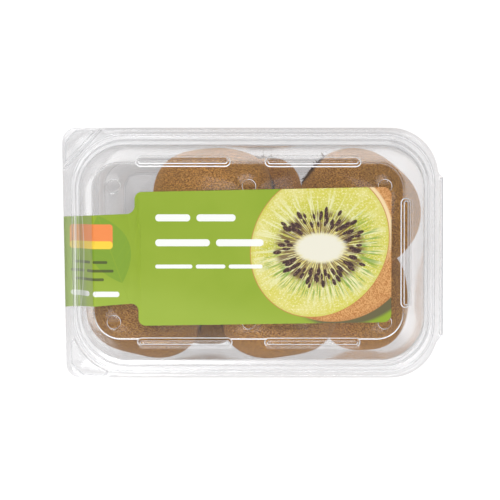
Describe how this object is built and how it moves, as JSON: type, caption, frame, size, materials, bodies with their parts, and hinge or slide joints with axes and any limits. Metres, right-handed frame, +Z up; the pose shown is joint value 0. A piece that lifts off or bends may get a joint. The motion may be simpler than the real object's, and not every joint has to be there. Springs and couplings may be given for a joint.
{
  "type": "clear hinged pack of whole kiwi fruit",
  "caption": "Clear hinged plastic pack of whole brown kiwi fruit, with a printed green label film over its lid.",
  "frame": {"origin": "centre of the bounding box at the underside of the tray", "axes": "+X along the length towards the hinge, +Y across the pack, +Z up"},
  "size_m": [0.1904, 0.125, 0.0927],
  "materials": {
    "clear_tray": "clear gloss",
    "clear_lid": "clear gloss",
    "label_film": "printed satin",
    "kiwi_skin": "matt with short fuzz"
  },
  "bodies": {
    "tray": {"tray": "clear_tray", "kiwi_1": "kiwi_skin", "kiwi_2": "kiwi_skin", "kiwi_3": "kiwi_skin", "kiwi_4": "kiwi_skin", "kiwi_5": "kiwi_skin", "kiwi_6": "kiwi_skin", "kiwi_7": "kiwi_skin"},
    "lid": {"lid": "clear_lid", "label": "label_film"}
  },
  "joints": [
    {"name": "lid_hinge", "type": "hinge", "parent": "tray", "child": "lid", "pos_m": [0.09525, 0, 0.066], "axis": [0, 1, 0], "range_deg": [0, 180]}
  ]
}
